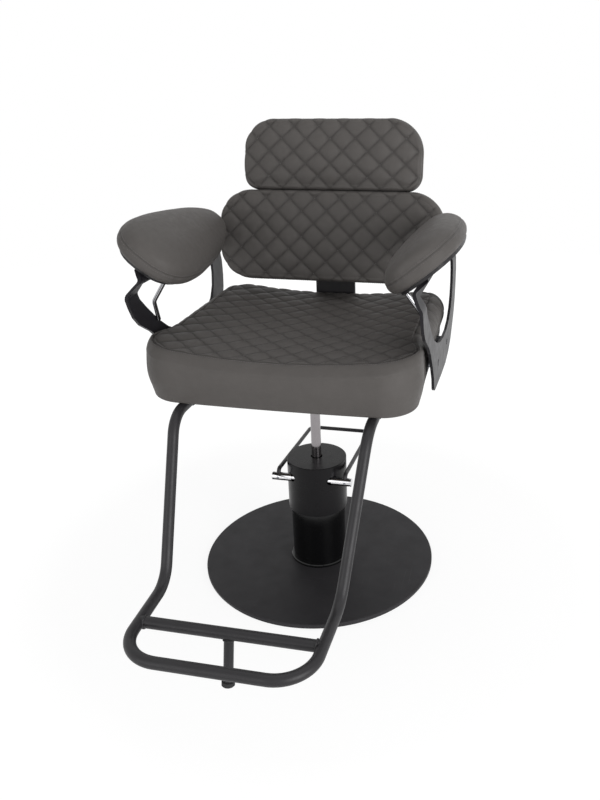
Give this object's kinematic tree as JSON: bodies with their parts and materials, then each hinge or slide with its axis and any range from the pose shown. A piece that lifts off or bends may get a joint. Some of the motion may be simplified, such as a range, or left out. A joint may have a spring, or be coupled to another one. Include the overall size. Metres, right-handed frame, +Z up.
{
  "type": "hairdressing chair",
  "caption": "Hydraulic hairdressing chair with quilted seat and back pads, padded arms on flat steel loops, a bent-tube footrest and a round floor plate.",
  "frame": {"origin": "on the floor, on the centre line of the pump that the seat turns about", "axes": "+Z up, the chair faces -Y, +X is the right-hand side seen from the front"},
  "size_m": [0.6988, 1.001, 1.0584],
  "materials": {
    "upholstery": "soft grained imitation leather with a low sheen",
    "satin_black": "satin black powder coat",
    "plate_black": "matt black powder coat",
    "gloss_black": "gloss black enamel",
    "arm_grey": "dark grey satin paint",
    "chrome": "bright chrome plate",
    "steel": "plain turned steel",
    "bronze": "plain bearing bronze",
    "rubber": "matt moulded rubber",
    "plywood": "bare plywood"
  },
  "bodies": {
    "base": {"floor_ring": "rubber", "base_plate": "plate_black", "base_bolts": "steel", "reservoir": "gloss_black", "pump_head": "steel", "ram_cylinder": "steel", "guide_bush": "bronze", "gland_cap": "steel", "wiper_seal": "rubber", "pump_shroud": "satin_black", "top_disc": "gloss_black"},
    "ram": {"piston": "steel", "piston_seal": "rubber", "thrust_washer": "bronze"},
    "seat": {"ram_rod": "chrome", "seat_plate": "satin_black", "plate_bolts": "steel", "seat_board": "plywood", "seat_cushion": "upholstery", "footrest_frame": "satin_black", "footrest_crossbar": "satin_black", "footrest_post": "satin_black", "post_glide": "rubber", "rail_clamps": "satin_black", "clamp_bolts": "steel", "back_bar": "satin_black", "back_bar_bolts": "steel", "back_board_lower": "plywood", "back_board_upper": "plywood", "back_cushion_lower": "upholstery", "back_cushion_upper": "upholstery", "back_bolts": "steel", "arm_frame_left": "arm_grey", "arm_frame_right": "arm_grey", "arm_spacers": "steel", "arm_bolts": "steel", "arm_board_left": "satin_black", "arm_board_right": "satin_black", "arm_screws": "steel", "arm_pad_left": "upholstery", "arm_pad_right": "upholstery", "arm_stay_left": "chrome", "arm_stay_right": "chrome"},
    "pedal": {"rocker_shaft": "chrome", "crank_arm": "steel", "pedal_bail": "satin_black", "pedal_sleeve_left": "chrome", "pedal_sleeve_right": "chrome", "sleeve_screws": "steel"},
    "plunger": {"pump_plunger": "chrome"}
  },
  "joints": [
    {"name": "lift", "type": "slide", "parent": "base", "child": "ram", "axis": [0, 0, 1], "range_m": [-0.125, 0.02]},
    {"name": "swivel", "type": "hinge", "parent": "ram", "child": "seat", "pos_m": [0, 0, 0.2], "axis": [0, 0, 1], "continuous": true},
    {"name": "pedal_pivot", "type": "hinge", "parent": "base", "child": "pedal", "pos_m": [0, -0.05, 0.253], "axis": [1, 0, 0], "range_deg": [-25, 0], "stiffness_Nm_per_rad": 12, "springref_deg": 14.32},
    {"name": "plunger_slide", "type": "slide", "parent": "base", "child": "plunger", "axis": [0, 0, 1], "range_m": [-0.008, 0.001]}
  ],
  "couplings": [
    {"joint": "plunger_slide", "follows": "pedal_pivot", "m_per_rad": 0.016}
  ]
}
